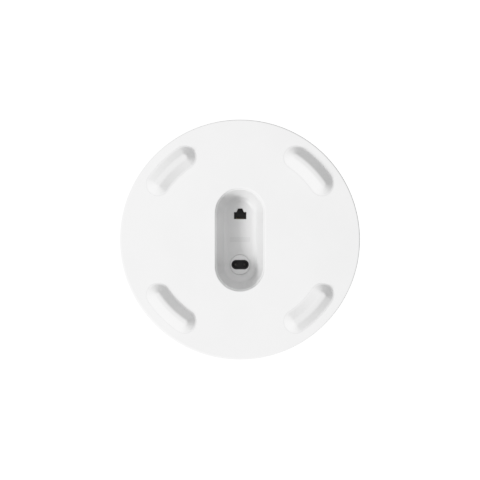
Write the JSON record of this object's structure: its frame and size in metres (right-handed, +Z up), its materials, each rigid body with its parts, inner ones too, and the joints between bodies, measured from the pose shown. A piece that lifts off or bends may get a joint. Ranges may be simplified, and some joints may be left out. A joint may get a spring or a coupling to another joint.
{
  "type": "wireless access point",
  "caption": "Round white access point on soft feet, with a stadium-shaped cable recess underneath that holds an ethernet socket and a mains inlet.",
  "frame": {"origin": "centre of the round footprint, on the plane that the four feet rest on", "axes": "+Z up through the cover, +Y towards the ethernet socket and the pairing button (rear), -Y towards the status light (front)"},
  "size_m": [0.22, 0.22, 0.07],
  "materials": {
    "housing_white": "fine-grained moulded white, satin",
    "cover_white": "fine-grained moulded white, satin",
    "well_white": "smooth moulded white, satin",
    "vent_grey": "moulded light grey, matt",
    "foot_white": "soft white elastomer, matt",
    "screw_steel": "zinc-plated",
    "label_white": "blank printed label stock",
    "socket_black": "moulded black, matt",
    "inlet_white": "moulded white insert",
    "inlet_black": "moulded black, satin",
    "chassis_grey": "moulded glass-filled grey",
    "shield_steel": "tin-plated sheet",
    "contact_gold": "gold-plated spring wire",
    "pin_nickel": "nickel-plated pins",
    "board_green": "solder-masked glass-epoxy board",
    "chip_black": "moulded epoxy package",
    "ferrite": "sintered ferrite",
    "winding_tape": "yellow polyester winding tape",
    "capacitor_sleeve": "shrink sleeve on aluminium can",
    "film_capacitor": "moulded film capacitor case",
    "copper_winding": "enamelled copper wire",
    "fuse_ceramic": "ceramic fuse tube",
    "sink_aluminium": "as cast and milled",
    "terminal_green": "moulded terminal block",
    "connector_white": "moulded nylon connector",
    "insulation_film": "polyester insulation film",
    "thermal_pad_grey": "filled silicone pad",
    "antenna_metal": "tin-plated copper alloy",
    "lead_brown": "PVC insulation",
    "lead_blue": "PVC insulation",
    "lead_grey": "PVC insulation",
    "lens_clear": "frosted clear light guide",
    "led_cream": "LED package with phosphor",
    "button_white": "moulded white, satin",
    "plunger_black": "moulded nylon"
  },
  "bodies": {
    "housing": {"bottom_housing": "housing_white", "top_cover": "cover_white", "vent_ring": "vent_grey", "foot_rear_right": "foot_white", "foot_rear_left": "foot_white", "foot_front_left": "foot_white", "foot_front_right": "foot_white", "housing_screws": "screw_steel", "port_well": "well_white", "well_screws": "screw_steel", "rating_label": "label_white", "ethernet_socket_body": "socket_black", "ethernet_socket_shield": "shield_steel", "ethernet_contacts": "contact_gold", "inner_chassis": "chassis_grey", "power_inlet_bezel": "inlet_white", "power_inlet_body": "inlet_black", "power_inlet_pins": "pin_nickel", "inlet_screws": "screw_steel", "power_board": "board_green", "power_board_screws": "screw_steel", "terminal_block": "terminal_green", "transformer_core": "ferrite", "transformer_bobbin": "winding_tape", "bulk_capacitors": "capacitor_sleeve", "output_capacitors": "capacitor_sleeve", "filter_choke": "copper_winding", "filter_capacitor": "film_capacitor", "mains_fuse": "fuse_ceramic", "bridge_rectifier": "chip_black", "plate_heat_sink": "sink_aluminium", "live_lead": "lead_brown", "neutral_lead": "lead_blue", "dc_header": "connector_white", "dc_lead": "lead_grey", "main_board": "board_green", "main_board_screws": "screw_steel", "insulation_sheet": "insulation_film", "dc_socket": "connector_white", "processor": "chip_black", "memory_chips": "chip_black", "radio_cans": "shield_steel", "ethernet_transformer": "chip_black", "thermal_pads": "thermal_pad_grey", "heat_sink": "sink_aluminium", "antenna_1": "antenna_metal", "antenna_2": "antenna_metal", "antenna_3": "antenna_metal", "antenna_4": "antenna_metal", "signal_sockets": "connector_white", "switch_body": "chip_black", "button_board": "board_green", "button_lead": "lead_grey", "status_lens": "lens_clear", "status_led": "led_cream", "status_board": "board_green", "status_lead": "lead_grey"},
    "button": {"button_cap": "button_white", "switch_plunger": "plunger_black"}
  },
  "joints": [
    {"name": "button_press", "type": "slide", "parent": "housing", "child": "button", "axis": [0, -1, 0], "range_m": [0, 0.0008], "stiffness_N_per_m": 1500, "springref_m": -0.0005}
  ]
}
